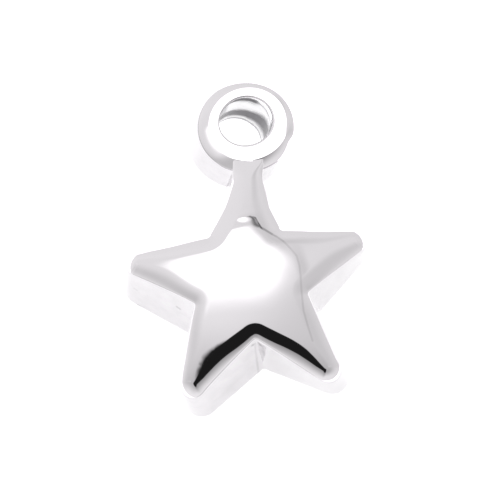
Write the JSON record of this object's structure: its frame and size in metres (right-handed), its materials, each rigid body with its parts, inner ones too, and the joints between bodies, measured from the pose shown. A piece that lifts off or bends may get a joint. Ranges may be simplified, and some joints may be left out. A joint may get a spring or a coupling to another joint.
{
  "type": "star pendant",
  "caption": "One-piece cast star pendant with a domed face, rounded arm tips, sheer drafted walls and a thick round loop on the neck of its top arm; it lies on its flat back.",
  "frame": {"origin": "on the flat back, under the middle of the pendant's bounding box", "axes": "+Z out of the domed face, +Y from the middle of the star towards the loop"},
  "size_m": [0.0102, 0.0138, 0.0039],
  "materials": {
    "polished_silver": "mirror polished silver"
  },
  "bodies": {
    "root": {"star_pendant": "polished_silver"}
  },
  "joints": []
}
